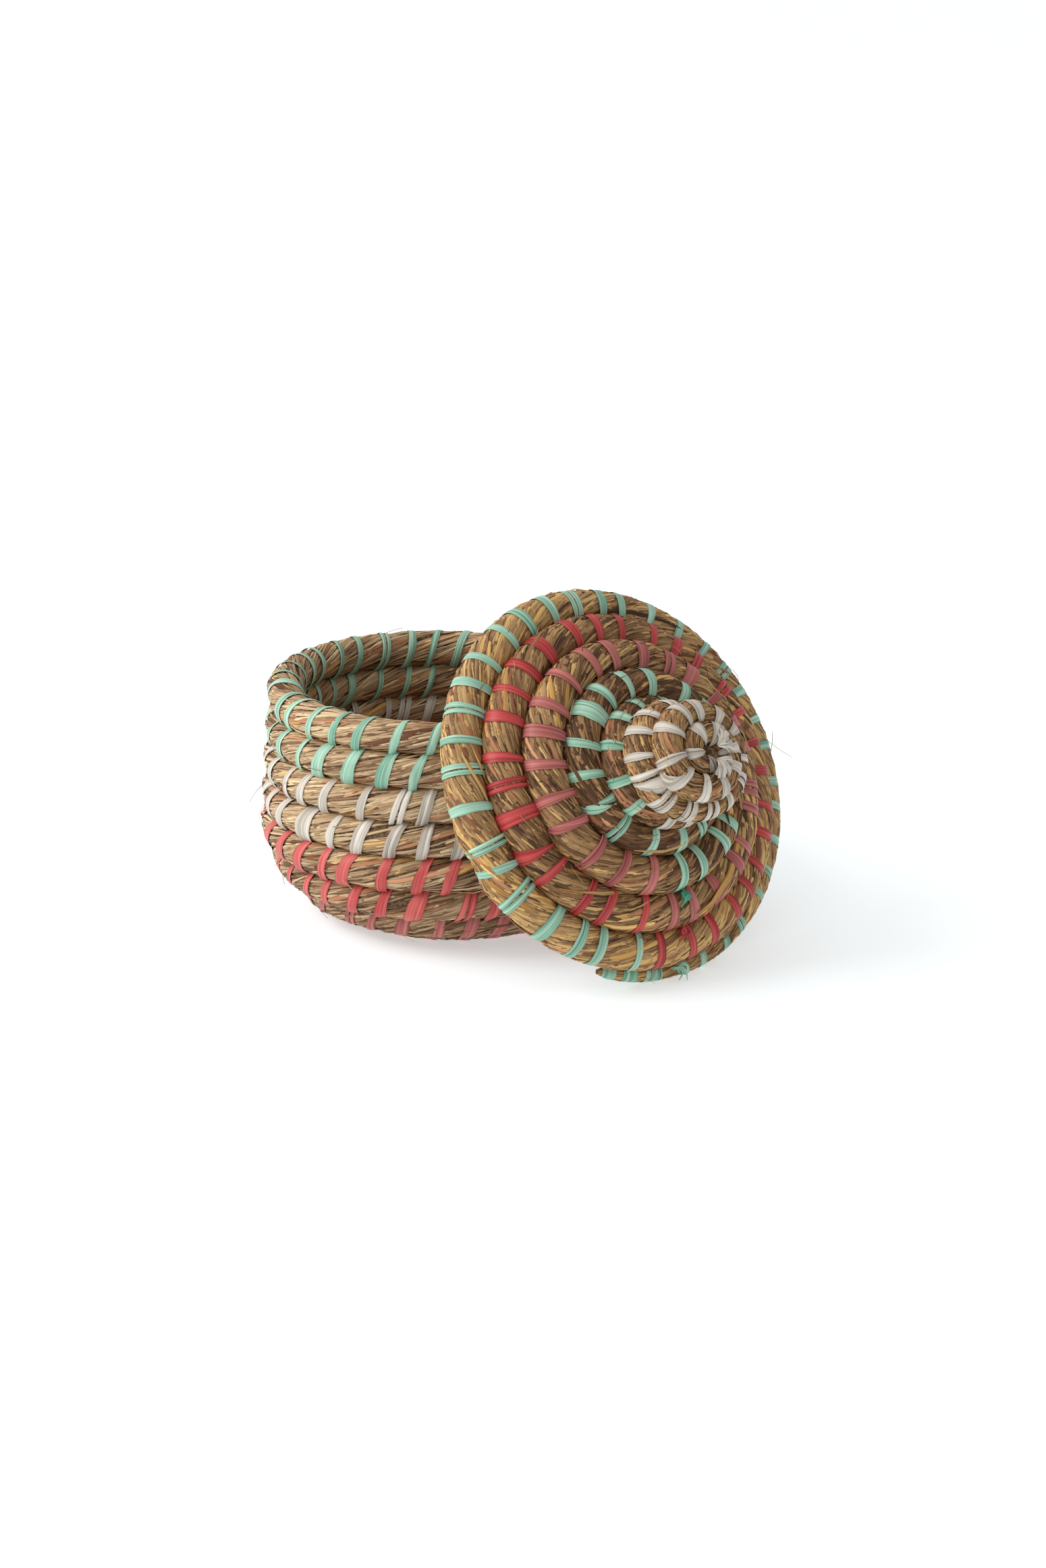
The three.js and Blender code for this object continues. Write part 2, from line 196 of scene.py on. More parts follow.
pot_line = line_of(LOWEST_ROW_HEIGHT, [(32.5, 0), (27.5, 94.2 * DEGREE), (60, 0)])
lid_line = line_of(
    KNOB_TOP_HEIGHT,
    [(6.4, 0), (9.5, -99 * DEGREE), (11.5, 84 * DEGREE), (45, -18 * DEGREE), (60, 0)],
)
pot_steps = coil(
    pot_line, POT_PITCH, POT_FIRST_RADIUS, POT_TURNS,
    lambda turns: thick_at(turns) * tail_at(turns, POT_TURNS, *POT_TAIL),
    winding=1, outside=1, start_angle=START_ANGLE,
)
lid_steps = coil(
    lid_line, LID_PITCH, LID_FIRST_RADIUS, LID_TURNS,
    lambda turns: thick_at(turns, KNOB_SHARE, THICKENING_TURNS) * tail_at(turns, LID_TURNS, *LID_TAIL),
    winding=-1, outside=-1, start_angle=START_ANGLE,
)
pot_steps = tucked_in(pot_steps, START_TURNS, 1, least_radius=0.9, least_share=0.85, dip=0)
lid_steps = tucked_in(lid_steps, START_TURNS, -1, least_radius=1.0, least_share=0.6, dip=2.4)
pot_steps = pinched_off(pot_steps, (0.8, 0.5, 0.15))
lid_steps = pinched_off(lid_steps, (0.8, 0.45), stride_share=0.5)


def running_lengths(steps):
    lengths = [0.0]
    for one, two in zip(steps, steps[1:]):
        lengths.append(lengths[-1] + (two["middle"] - one["middle"]).length)
    return lengths


pot_lengths = running_lengths(pot_steps)
lid_lengths = running_lengths(lid_steps)
print("rope in the pot:", round(pot_lengths[-1], 2), "m; in the lid:", round(lid_lengths[-1], 2), "m")

# %% [markdown]
# The strips are sewn in rows, one row for each turn of the rope. Copies at equal steps would look made
# by a machine, and a free scatter would leave gaps. A sewer keeps an even step and makes small errors:
# some stitches are wide, and some are two thin ones side by side. The list of stitches comes first,
# because the rope swells between them.

# %% Rows of stitches
WIDE_ABOVE, WIDE_SHARE = 0.93, 1.5
TWIN_BELOW, TWIN_SHARE = 0.13, 0.6


def length_at(lengths, turns):
    place = max(0.0, min((turns + START_TURNS) * LOOP_STEPS, len(lengths) - 1.001))
    low = int(place)
    return lengths[low] + (lengths[low + 1] - lengths[low]) * (place - low)


def row_of_stitches(lengths, first_turn, last_turn, spacing, width, lean, rng):
    """Even steps with a sewer's small errors. Spacing, width and lean are in millimetres."""
    first, last = length_at(lengths, first_turn), length_at(lengths, last_turn)
    count = max(2, round((last - first) / (spacing * MM)))
    step = (last - first) / count
    made = []
    for number in range(count):
        stitch = {
            "start": first + step * (number + 0.5 + rng.uniform(-0.17, 0.17)),
            "width": width * rng.uniform(0.78, 1.18) * MM,
            "lean": (lean + rng.uniform(-1.2, 1.2)) * MM,
            "back": step - lean * MM,
            "bow": rng.uniform(-0.6, 0.6) * MM,
            "tone": rng.random(),
        }
        kind = rng.random()
        if kind > WIDE_ABOVE:
            stitch["width"] *= WIDE_SHARE
        made.append(stitch)
        if kind < TWIN_BELOW:
            stitch["width"] *= TWIN_SHARE
            twin = dict(stitch, start=stitch["start"] + stitch["width"] * 1.15, tone=rng.random())
            twin["lean"] += rng.uniform(-1.6, 0.6) * MM
            made.append(twin)
    return made


# %% The pot's rows
# Each row has its first and last turn, its spacing and strip width, and the solid that it replaces.
POT_SEWING = [
    ("pot_sewing_base_inner", "rose", -0.4, 0.5, 7.0, 3.2, None),
    ("pot_sewing_base_middle", "rose", 0.5, 1.5, 9.0, 3.4, "pot_strip_base_inner_rose"),
    ("pot_sewing_base_outer", "rose", 1.5, 2.5, 9.5, 3.4, "pot_strip_base_outer_rose"),
    ("pot_sewing_foot", "rose", 2.5, 3.5, 10.0, 3.6, "pot_strip_foot_rose"),
    ("pot_sewing_belly", "rose", 3.5, 4.5, 10.6, 3.9, "pot_strip_belly_rose"),
    ("pot_sewing_wall_1", "coral", 4.5, 5.5, 11.0, 3.9, "pot_strip_wall_1_coral"),
    ("pot_sewing_wall_2", "coral", 5.5, 6.5, 11.2, 4.1, "pot_strip_wall_2_coral"),
    ("pot_sewing_wall_3", "white", 6.5, 7.5, 11.0, 3.9, "pot_strip_wall_3_white"),
    ("pot_sewing_wall_4", "white", 7.5, 8.5, 10.8, 3.4, "pot_strip_wall_4_white"),
    ("pot_sewing_wall_5", "mint", 8.5, 9.5, 11.0, 2.8, "pot_strip_wall_5_mint"),
    ("pot_sewing_rim", "mint", 9.5, POT_TURNS, 10.6, 3.0, "pot_strip_rim_mint"),
]

# %% The lid's rows
LID_SEWING = [
    ("lid_sewing_knob_top", "white", -0.45, 0.83, 7.4, 3.4, "lid_strip_knob_top_white"),
    ("lid_sewing_knob_middle", "white", 0.83, 1.83, 7.4, 3.2, "lid_strip_knob_middle_white"),
    ("lid_sewing_knob_waist", "white", 1.83, 2.9, 7.0, 2.7, "lid_strip_knob_waist_white"),
    ("lid_sewing_row_1", "mint", 2.9, 3.83, 9.4, 3.0, "lid_strip_row_1_mint"),
    ("lid_sewing_row_2", "mint", 3.83, 4.83, 9.6, 3.2, "lid_strip_row_2_mint"),
    ("lid_sewing_row_3", "rose", 4.83, 5.83, 10.0, 3.7, "lid_strip_row_3_rose"),
    ("lid_sewing_row_4", "red", 5.83, 6.83, 10.4, 3.3, "lid_strip_row_4_red"),
    ("lid_sewing_edge", "mint", 6.83, LID_TURNS, 10.4, 3.0, "lid_strip_edge_mint"),
]
TAIL_WRAPS = [(7.81, 4.4), (7.835, 5.6), (7.856, 5.0)]

# %% The list of stitches
POT_STITCH_LEAN, LID_STITCH_LEAN = 5.4, 0.8
rng = random.Random(4)


def sewn_rows(rows, lengths, lean):
    return [
        row_of_stitches(lengths, first, last, spacing, width, lean, rng)
        for name, shade, first, last, spacing, width, node in rows
    ]


pot_rows = sewn_rows(POT_SEWING, pot_lengths, POT_STITCH_LEAN)
lid_rows = sewn_rows(LID_SEWING, lid_lengths, LID_STITCH_LEAN)
for turns, width in TAIL_WRAPS:
    lid_rows[-1].append(dict(lid_rows[-1][0], start=length_at(lid_lengths, turns), width=width * MM))
print("stitches:", sum(len(row) for row in pot_rows + lid_rows))

# %% [markdown]
# Grass is soft. A strip that is pulled tight draws the bundle in, and between two strips it swells.
# Sculpting would show that too, but only for one set of stitches. Here the swelling is worked out from
# the places of the stitches, so it follows them when the seed or the spacing changes.

# %% The rope is drawn in under each stitch
DRAWN_IN_SHARE, SWELL_SHARE = 0.95, 0.1
FULL_SWELL_GAP = 9 * MM


def drawn_in(steps, lengths, rows):
    """Twice as many steps, thinner under a strip and swollen between two strips."""
    places = sorted(stitch["start"] for row in rows for stitch in row)
    finer = []
    for index in range(len(steps) - 1):
        for part in (0.0, 0.5):
            run = lengths[index] + (lengths[index + 1] - lengths[index]) * part
            after = min(len(places) - 1, max(1, bisect.bisect(places, run)))
            gap = places[after] - places[after - 1]
            phase = min(1.0, max(0.0, (run - places[after - 1]) / gap))
            swell = math.sin(math.pi * phase) * min(1.0, gap / FULL_SWELL_GAP)
            one, two = steps[index], steps[index + 1]
            reach = one["reach"].lerp(two["reach"], part) * (DRAWN_IN_SHARE + SWELL_SHARE * swell)
            finer.append({"middle": one["middle"].lerp(two["middle"], part), "reach": reach})
    return finer + [steps[-1]]


# %% [markdown]
# A node tree can be drawn by hand or written out link by link, but it is easier to read as a formula.
# Field wraps a socket, so that plus, times and sine on it add the nodes that do the sum. It serves
# geometry trees and shader trees alike.

# %% A small language for node trees
def socket_of(sockets, name):
    if isinstance(name, int):
        return sockets[name]
    return next(each for each in sockets if each.name == name and not each.is_unavailable)


def feed(target, value):
    if isinstance(value, Field):
        target.id_data.links.new(value.socket, target)
    elif value is not None:
        target.default_value = value


def add(tree, kind, inputs=None, **settings):
    made = tree.nodes.new(kind)
    for name, value in settings.items():
        setattr(made, name, value)
    for name, value in (inputs or {}).items():
        feed(socket_of(made.inputs, name), value)
    return made


class Field:
    def __init__(self, socket):
        self.socket = socket

    def do(self, operation, *others):
        """Adds one math node and returns its result."""
        tree = self.socket.id_data
        is_vector = self.socket.type == "VECTOR"
        kind = "ShaderNodeVectorMath" if is_vector else "ShaderNodeMath"
        made = tree.nodes.new(kind)
        made.operation = operation
        feed(made.inputs[0], self)
        for index, other in enumerate(others):
            feed(made.inputs["Scale"] if operation == "SCALE" else made.inputs[index + 1], other)
        return Field(next(each for each in made.outputs if not each.is_unavailable))

    def __add__(self, other):
        return self.do("ADD", other)

    def __sub__(self, other):
        return self.do("SUBTRACT", other)

    def __mul__(self, other):
        return self.do("SCALE" if self.socket.type == "VECTOR" else "MULTIPLY", other)

    def power(self, other):
        return self.do("POWER", other)

    def sine(self):
        return self.do("SINE")

    def cosine(self):
        return self.do("COSINE")


def out(made, name=0):
    return Field(socket_of(made.outputs, name))


def new_tree(name, inputs, outputs):
    """A node group with named inputs: [(name, socket kind, value)]."""
    tree = bpy.data.node_groups.new(name, "GeometryNodeTree")
    for label, kind, value in inputs:
        item = tree.interface.new_socket(label, in_out="INPUT", socket_type=kind)
        if value is not None:
            item.default_value = value
    for label, kind in outputs:
        tree.interface.new_socket(label, in_out="OUTPUT", socket_type=kind)
    entry = tree.nodes.new("NodeGroupInput")
    exit_node = tree.nodes.new("NodeGroupOutput")
    return tree, {each.name: Field(each) for each in entry.outputs if each.name}, exit_node


def attribute(tree, name, kind="FLOAT"):
    return out(add(tree, "GeometryNodeInputNamedAttribute", {"Name": name}, data_type=kind), "Attribute")


def chance(tree, low, high, who, seed):
    made = add(tree, "FunctionNodeRandomValue", {"ID": who, "Seed": seed}, data_type="FLOAT")
    feed(socket_of(made.inputs, "Min"), low)
    feed(socket_of(made.inputs, "Max"), high)
    return out(made, "Value")


# %% [markdown]
# Everything on this basket follows a rope: the grass runs along it and the strips go round it. A
# Curve modifier could bend straight models along a line, but the line's own twist would carry the
# strips round with it. So one group turns three numbers into a place: how far along the rope, how far
# round it, and how far out from its middle. The rope is handed over as a guide, a line of points that
# know the way out.

# %% The two guides
def shown(name, data):
    """Puts a mesh, a lamp or a camera into the scene as an object."""
    made = bpy.data.objects.new(name, data)
    bpy.context.scene.collection.objects.link(made)
    return made


def guide_object(name, steps):
    mesh = bpy.data.meshes.new(name)
    mesh.from_pydata([step["middle"] for step in steps], [(i, i + 1) for i in range(len(steps) - 1)], [])
    reach = mesh.attributes.new("reach", "FLOAT_VECTOR", "POINT")
    for index, step in enumerate(steps):
        reach.data[index].vector = step["reach"]
    return shown(name, mesh)


pot_guide = guide_object("pot_guide", drawn_in(pot_steps, pot_lengths, pot_rows))
lid_guide = guide_object("lid_guide", drawn_in(lid_steps, lid_lengths, lid_rows))
GUIDES = {"pot": pot_guide, "lid": lid_guide}
PLACES = {"pot": POT_PLACE, "lid": LID_PLACE}
print("points on the guides:", [len(guide.data.vertices) for guide in GUIDES.values()])

# %% A place on a rope
on_rope, given, result = new_tree(
    "Place on a rope",
    [
        ("Rope", "NodeSocketGeometry", None),
        ("Along", "NodeSocketFloat", 0.0),
        ("Round", "NodeSocketFloat", 0.0),
        ("Out", "NodeSocketFloat", 1.0),
    ],
    [("Place", "NodeSocketVector")],
)
sample = add(
    on_rope,
    "GeometryNodeSampleCurve",
    {
        "Curves": given["Rope"],
        "Value": attribute(on_rope, "reach", "FLOAT_VECTOR"),
        "Length": given["Along"],
    },
    mode="LENGTH",
    data_type="FLOAT_VECTOR",
)
reach = out(sample, "Value")
side = out(sample, "Tangent").do("CROSS_PRODUCT", reach)
way = reach * given["Round"].cosine() + side * given["Round"].sine()
feed(result.inputs["Place"], out(sample, "Position") + way * given["Out"])


def rope_curve(tree, rope):
    info = add(tree, "GeometryNodeObjectInfo", {"Object": rope}, transform_space="ORIGINAL")
    return out(add(tree, "GeometryNodeMeshToCurve", {"Mesh": out(info, "Geometry")}), "Curve")


def placed(tree, rope, along, round_it, away):
    made = add(tree, "GeometryNodeGroup", node_tree=on_rope)
    for name, value in {"Rope": rope, "Along": along, "Round": round_it, "Out": away}.items():
        feed(made.inputs[name], value)
    return out(made, "Place")


# %% Small grids laid on a rope
def repeated(tree, points, columns, rows):
    """Puts a grid on every point and makes it real. Gives its points' place in it and its number."""
    size = {"Size X": 1.0, "Size Y": 1.0, "Vertices X": columns, "Vertices Y": rows}
    grid = out(add(tree, "GeometryNodeMeshGrid", size), "Mesh")
    copies = add(tree, "GeometryNodeInstanceOnPoints", {"Points": points, "Instance": grid})
    loose = out(add(tree, "GeometryNodeRealizeInstances", {"Geometry": out(copies)}))
    spot = add(tree, "ShaderNodeSeparateXYZ", {0: out(add(tree, "GeometryNodeInputPosition"))})
    who = out(add(tree, "FunctionNodeFloatToInt", {"Float": attribute(tree, "who")}))
    return loose, out(spot, "X"), out(spot, "Y"), who


def stored(tree, geometry, name, value, kind="FLOAT"):
    """Keeps a value on every point under a name, which a material can read."""
    settings = {"data_type": kind, "domain": "POINT"}
    values = {"Geometry": geometry, "Name": name, "Value": value}
    return out(add(tree, "GeometryNodeStoreNamedAttribute", values, **settings))


def laid(tree, geometry, grain, place):
    """Stores the grain while the grids still lie flat, and then moves their points to the rope."""
    grain = out(add(tree, "ShaderNodeCombineXYZ", {"X": grain[0], "Y": grain[1], "Z": grain[2]}))
    grained = stored(tree, geometry, "grain", grain, "FLOAT_VECTOR")
    moved = add(tree, "GeometryNodeSetPosition", {"Geometry": grained, "Position": place})
    return out(add(tree, "GeometryNodeSetShadeSmooth", {"Geometry": out(moved)}))


def finished(tree, geometry, finish, result):
    painted = add(tree, "GeometryNodeSetMaterial", {"Geometry": geometry, "Material": finish})
    feed(result.inputs["Geometry"], out(painted))
    print("nodes in", tree.name.lower() + ":", len(tree.nodes))


# %% [markdown]
# The knob was wound by hand and leans a little to one side, and both parts settle flat where they
# stand. A lattice and a cutting plane could do this. Moving the points by their height is shorter,
# treats grass and strips alike, and keeps the strips' relief under the pot where a cut would lose it.

# %% The knob leans aside
KNOB_ASIDE = Vector((5.2, -2.7, 0)) * MM
ASIDE_LOW_HEIGHT, ASIDE_HIGH_HEIGHT = 17, 46


def leaned(mesh):
    """Between two heights the lid's coil moves aside."""
    for vertex in mesh.vertices:
        climb = (vertex.co.z / MM - ASIDE_LOW_HEIGHT) / (ASIDE_HIGH_HEIGHT - ASIDE_LOW_HEIGHT)
        part = min(1.0, max(0.0, climb))
        vertex.co += KNOB_ASIDE * part * part * (3 - 2 * part)


# %% Nothing goes below the floor
FLOOR_SOFTNESS = 1.0 * MM


def rested(mesh):
    """Presses what is lower than a millimetre flatter and flatter, so that all stays on the floor."""
    for vertex in mesh.vertices:
        if vertex.co.z < FLOOR_SOFTNESS:
            vertex.co.z = FLOOR_SOFTNESS * math.exp(vertex.co.z / FLOOR_SOFTNESS - 1)


# %% From a tree to a finished piece
def grown(name, tree, body, host=None, **values):
    """Runs a tree on a body's rope, keeps the result as a plain mesh, and puts it in its place."""
    values["Rope"] = GUIDES[body]
    seed_object = shown(name + "_seed", host or bpy.data.meshes.new(name + "_seed"))
    modifier = seed_object.modifiers.new("grow", "NODES")
    modifier.node_group = tree
    for item in tree.interface.items_tree:
        if item.in_out == "INPUT" and item.name in values:
            modifier[item.identifier] = values[item.name]
    depsgraph = bpy.context.evaluated_depsgraph_get()
    made = bpy.data.meshes.new_from_object(seed_object.evaluated_get(depsgraph))
    bpy.data.objects.remove(seed_object)
    made.name = name
    if body == "lid":
        leaned(made)
    made.transform(PLACES[body])
    rested(made)
    piece = shown(name, made)
    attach(piece, body)
    triangles = sum(len(face.vertices) - 2 for face in made.polygons)
    print(name, "has", triangles, "triangles")
    return piece


# %% [markdown]
# Dry grass is never one colour, and dyed raffia shows its fibres. A picture of either would blur up
# close and end at the edge of a blade. Instead each blade and strip carries two attributes: a tone, a
# number from 0 to 1, and a grain, its own length and width. The material turns the tone into a straw,
# a honey or a brown, and draws fine lines along the grain, so that they follow every bend.

# %% Helpers for colours and patterns
def colour(red, green, blue):
    def linear(value):
        value /= 255
        return value / 12.92 if value <= 0.04045 else ((value + 0.055) / 1.055) ** 2.4

    return (linear(red), linear(green), linear(blue), 1.0)


def new_material(name, roughness):
    material = bpy.data.materials.new(name)
    material.use_nodes = True
    tree = material.node_tree
    shader = tree.nodes["Principled BSDF"]
    shader.inputs["Roughness"].default_value = roughness
    return material, tree, shader


def ramp(tree, factor, stops):
    made = add(tree, "ShaderNodeValToRGB", {"Fac": factor})
    elements = made.color_ramp.elements
    while len(elements) < len(stops):
        elements.new(0.5)
    for element, (position, shade) in zip(elements, stops):
        element.position = position
        element.color = shade
    return out(made, "Color")


def mixed(tree, factor, first, second, blend="MIX"):
    made = add(
        tree, "ShaderNodeMix", {"Factor": factor, "A": first, "B": second},
        data_type="RGBA", blend_type=blend,
    )
    return out(made, "Result")


def grain_noise(tree, along, across, detail=3.0):
    """Slow along a blade and quick across it, so the noise draws fine lines."""
    grain = out(add(tree, "ShaderNodeAttribute", attribute_name="grain"), "Vector")
    stretched = grain.do("MULTIPLY", (along, across, 1.0))
    return out(add(tree, "ShaderNodeTexNoise", {"Vector": stretched, "Scale": 1.0, "Detail": detail}), 0)


def tone_of(tree):
    """The blade's or strip's own number."""
    return out(add(tree, "ShaderNodeAttribute", attribute_name="tone"), "Fac")


def edge_of(tree):
    """From 0 along the middle of a blade or strip to 1 along its edges."""
    grain = out(add(tree, "ShaderNodeAttribute", attribute_name="grain"), "Vector")
    return out(add(tree, "ShaderNodeSeparateXYZ", {0: grain}), "Z")


# %% Dry grass
BUMP_DEPTH = 0.3 * MM


def grass_material(name, stops):
    material, tree, shader = new_material(name, 0.6)
    shader.inputs["Specular IOR Level"].default_value = 0.25
    streaks = grain_noise(tree, 14, 2600)
    patches = grain_noise(tree, 40, 150, 2.0)
    mottled = tone_of(tree) + (patches - 0.5) * 0.35 + (streaks - 0.5) * 0.5
    base = ramp(tree, mottled, stops)
    cracks = ramp(
        tree, grain_noise(tree, 16, 3600), [(0.37, (0.36, 0.28, 0.22, 1)), (0.45, (1, 1, 1, 1))]
    )
    lined = mixed(tree, 0.75, base, cracks, "MULTIPLY")
    # The edges of every blade are darker: painted shade, where the blade's surface turns away from the
    # light.
    rim = ramp(tree, edge_of(tree), [(0.55, (1, 1, 1, 1)), (0.97, (0.42, 0.34, 0.27, 1))])
    feed(shader.inputs["Base Color"], mixed(tree, 0.8, lined, rim, "MULTIPLY"))
    bump = add(tree, "ShaderNodeBump", {"Strength": 0.5, "Distance": BUMP_DEPTH, "Height": streaks})
    feed(shader.inputs["Normal"], out(bump, "Normal"))
    return material


STRAW = [
    (0.05, colour(112, 80, 54)),
    (0.28, colour(154, 121, 88)),
    (0.5, colour(182, 150, 114)),
    (0.75, colour(206, 178, 138)),
    (0.95, colour(230, 204, 160)),
]
HONEY = [
    (0.05, colour(82, 54, 32)),
    (0.28, colour(126, 90, 58)),
    (0.5, colour(158, 121, 80)),
    (0.75, colour(186, 149, 100)),
    (0.95, colour(218, 178, 112)),
]
GOLD = [
    (0.05, colour(150, 104, 54)),
    (0.5, colour(208, 158, 88)),
    (0.95, colour(240, 200, 128)),
]
RUST = [
    (0.05, colour(104, 62, 40)),
    (0.5, colour(166, 108, 72)),
    (0.95, colour(208, 152, 112)),
]
pot_grass = grass_material("dry_grass_pot", STRAW)
lid_grass = grass_material("dry_grass_lid", HONEY)
gold_grass = grass_material("dry_grass_gold", GOLD)
rust_grass = grass_material("dry_grass_rust", RUST)
print("grass:", [finish.name for finish in (pot_grass, lid_grass, gold_grass, rust_grass)])


# %% Dyed raffia
def raffia_material(name, light, dark):
    material, tree, shader = new_material(name, 0.45)
    shader.inputs["Specular IOR Level"].default_value = 0.3
    ribs = grain_noise(tree, 18, 900, 2.0)
    fibres = grain_noise(tree, 26, 3400)
    faded = grain_noise(tree, 120, 400, 2.0)
    lit = (ribs - 0.5) * 2.8 + (fibres - 0.5) * 1.4 + (tone_of(tree) - 0.5) * 0.3 + 0.6
    lines = ramp(
        tree, grain_noise(tree, 22, 2100), [(0.36, (0.5, 0.47, 0.45, 1)), (0.43, (1, 1, 1, 1))]
    )
    base = mixed(tree, 0.8, ramp(tree, lit, [(0.0, dark), (1.0, light)]), lines, "MULTIPLY")
    worn = ramp(tree, faded, [(0.4, (0.86, 0.84, 0.82, 1)), (0.62, (1, 1, 1, 1))])
    aged = mixed(tree, 0.8, base, worn, "MULTIPLY")
    # The edges of every strip are darker: painted shade, where the strip curves away from the light.
    rim = ramp(tree, edge_of(tree), [(0.7, (1, 1, 1, 1)), (1.0, (0.66, 0.62, 0.6, 1))])
    feed(shader.inputs["Base Color"], mixed(tree, 0.7, aged, rim, "MULTIPLY"))
    height = ribs + fibres * 0.5
    bump = add(tree, "ShaderNodeBump", {"Strength": 0.7, "Distance": BUMP_DEPTH, "Height": height})
    feed(shader.inputs["Normal"], out(bump, "Normal"))
    return material


raffia = {
    "mint": raffia_material("raffia_mint", colour(180, 217, 194), colour(102, 161, 134)),
    "white": raffia_material("raffia_white", colour(226, 218, 206), colour(170, 160, 146)),
    "coral": raffia_material("raffia_coral", colour(218, 106, 100), colour(178, 52, 54)),
    "red": raffia_material("raffia_red", colour(206, 82, 78), colour(150, 34, 40)),
    "rose": raffia_material("raffia_rose", colour(198, 118, 110), colour(142, 64, 64)),
    "green": raffia_material("raffia_green", colour(84, 168, 140), colour(30, 104, 82)),
}
print("raffia:", list(raffia))

# %% [markdown]
# The middle of the rope is packed grass that hardly shows. Blades all the way through would cost a
# million faces, so it is one dark tube along the guide, which closes the gaps between the blades on it.

# %% The rope's core
core_tree, given, result = new_tree(
    "Rope core",
    [
        ("Rope", "NodeSocketObject", None),
        ("Share", "NodeSocketFloat", 0.93),
        ("Sides", "NodeSocketInt", 14),
        ("Finish", "NodeSocketMaterial", None),
    ],
    [("Geometry", "NodeSocketGeometry")],
)
curve = rope_curve(core_tree, given["Rope"])
radius = attribute(core_tree, "reach", "FLOAT_VECTOR").do("LENGTH") * given["Share"]
profile = add(
    core_tree, "GeometryNodeCurvePrimitiveCircle", {"Resolution": given["Sides"], "Radius": 1.0}
)
tube = add(
    core_tree, "GeometryNodeCurveToMesh",
    {"Curve": curve, "Profile Curve": out(profile), "Scale": radius, "Fill Caps": True},
)
finished(core_tree, out(tube), given["Finish"], result)

# %% Packed grass in painted shade
# The dark browns are painted shade: the shade that fills the gaps between the blades.
PACKED_SHADE = [(0.35, colour(66, 46, 30)), (0.7, colour(122, 92, 62))]
core_shade_finish, tree, shader = new_material("packed_grass_in_shade", 0.9)
object_place = out(add(tree, "ShaderNodeTexCoord"), "Object")
speckle = out(add(tree, "ShaderNodeTexNoise", {"Vector": object_place, "Scale": 900.0}), 0)
feed(shader.inputs["Base Color"], ramp(tree, speckle, PACKED_SHADE))
pot_core = grown("pot_core", core_tree, "pot", Finish=core_shade_finish)
lid_core = grown("lid_core", core_tree, "lid", Finish=core_shade_finish)

# %% [markdown]
# The grass itself is thousands of narrow leaves. Each comes up out of the bundle, runs along it at a
# slant and goes down into it again. Hair would be quick to add, but it doesn't export as a mesh. So one
# small grid is repeated for every blade, and the blade's own number picks its place, length, width,
# slant and tone, with a fixed seed. Nine rows of points bend well, and three columns give it an arch.

# %% A blade of grass, repeated
blades, given, result = new_tree(
    "Blades on a rope",
    [
        ("Rope", "NodeSocketObject", None),
        ("Count", "NodeSocketInt", 100),
        ("Thickness", "NodeSocketFloat", 6 * MM),
        ("Shortest", "NodeSocketFloat", 25 * MM),
        ("Longest", "NodeSocketFloat", 60 * MM),
        ("Narrowest", "NodeSocketFloat", 0.9 * MM),
        ("Widest", "NodeSocketFloat", 2 * MM),
        ("Slant", "NodeSocketFloat", -0.15),
        ("Slant spread", "NodeSocketFloat", 0.13),
        ("Proud", "NodeSocketFloat", 0.05),
        ("Tight stretch", "NodeSocketFloat", 120 * MM),
        ("First", "NodeSocketFloat", 0.0),
        ("Last", "NodeSocketFloat", 1.0),
        ("Tone", "NodeSocketFloat", 0.0),
        ("Seed", "NodeSocketInt", 1),
        ("Finish", "NodeSocketMaterial", None),
    ],
    [("Geometry", "NodeSocketGeometry")],
)
curve = rope_curve(blades, given["Rope"])
rope_length = out(add(blades, "GeometryNodeCurveLength", {"Curve": curve}))
points = add(blades, "GeometryNodePoints", {"Count": given["Count"]})
index = out(add(blades, "GeometryNodeInputIndex"))
numbered = stored(blades, out(points), "who", index)
loose, across, run, who = repeated(blades, numbered, columns=3, rows=9)

# %% Where a blade lies and how it bends
STRAY_ABOVE = 0.984


def dice(low, high, number):
    """A random number for each blade. Each use has its own number, so that no two go together."""
    return chance(blades, low, high, who, given["Seed"].do("ADD", number))


middle = rope_length * dice(given["First"], given["Last"], 4)
tight = middle.do("DIVIDE", given["Tight stretch"]).do("MINIMUM", 1.0) * 0.7 + 0.3
blade_length = dice(given["Shortest"], given["Longest"], 1) * tight
blade_width = dice(given["Narrowest"], given["Widest"], 2)
stray = dice(0.0, 1.0, 13).do("GREATER_THAN", STRAY_ABOVE)
slant = given["Slant"] + given["Slant spread"] * dice(-1.0, 1.0, 3) + stray * dice(-0.35, 0.35, 14)
tip = (run * 2.0).do("ABSOLUTE")
width_here = blade_width * ((tip.power(5.0) * -0.8) + 1.0)
along = middle + run * blade_length
bend = (run * dice(3.0, 8.0, 5) + dice(0.0, 6.0, 6)).sine() * dice(0.0, 0.035, 7)
turned = (run * blade_length * slant + across * width_here).do("DIVIDE", given["Thickness"])
round_it = dice(-HALF_TURN, HALF_TURN, 8) + turned + bend
arch = (across * across) * -4.0 + 1.0
hump = tip.power(6.0) * -0.16
frayed = stray * (run + 0.5).power(3.0) * dice(0.1, 0.34, 15)
proud = dice(0.0, 1.0, 9) * given["Proud"] + 0.95
away = proud + arch * 0.04 + hump + frayed

# %% The blade's grain, tone and finish
grain = (
    along + dice(0.0, 9.0, 11),
    across * width_here + dice(0.0, 1.0, 10),
    across.do("ABSOLUTE") * 2.0,
)
leaves = laid(blades, loose, grain, placed(blades, curve, along, round_it, away))
# The random tone plus the piece's painted shading, which lightens or darkens whole rows as painted light
# and shade.
tone = (dice(0.0, 1.0, 12) + dice(0.0, 1.0, 16) + dice(0.0, 1.0, 17)) * 0.48 - 0.22 + given["Tone"]
finished(blades, stored(blades, leaves, "tone", tone), given["Finish"], result)
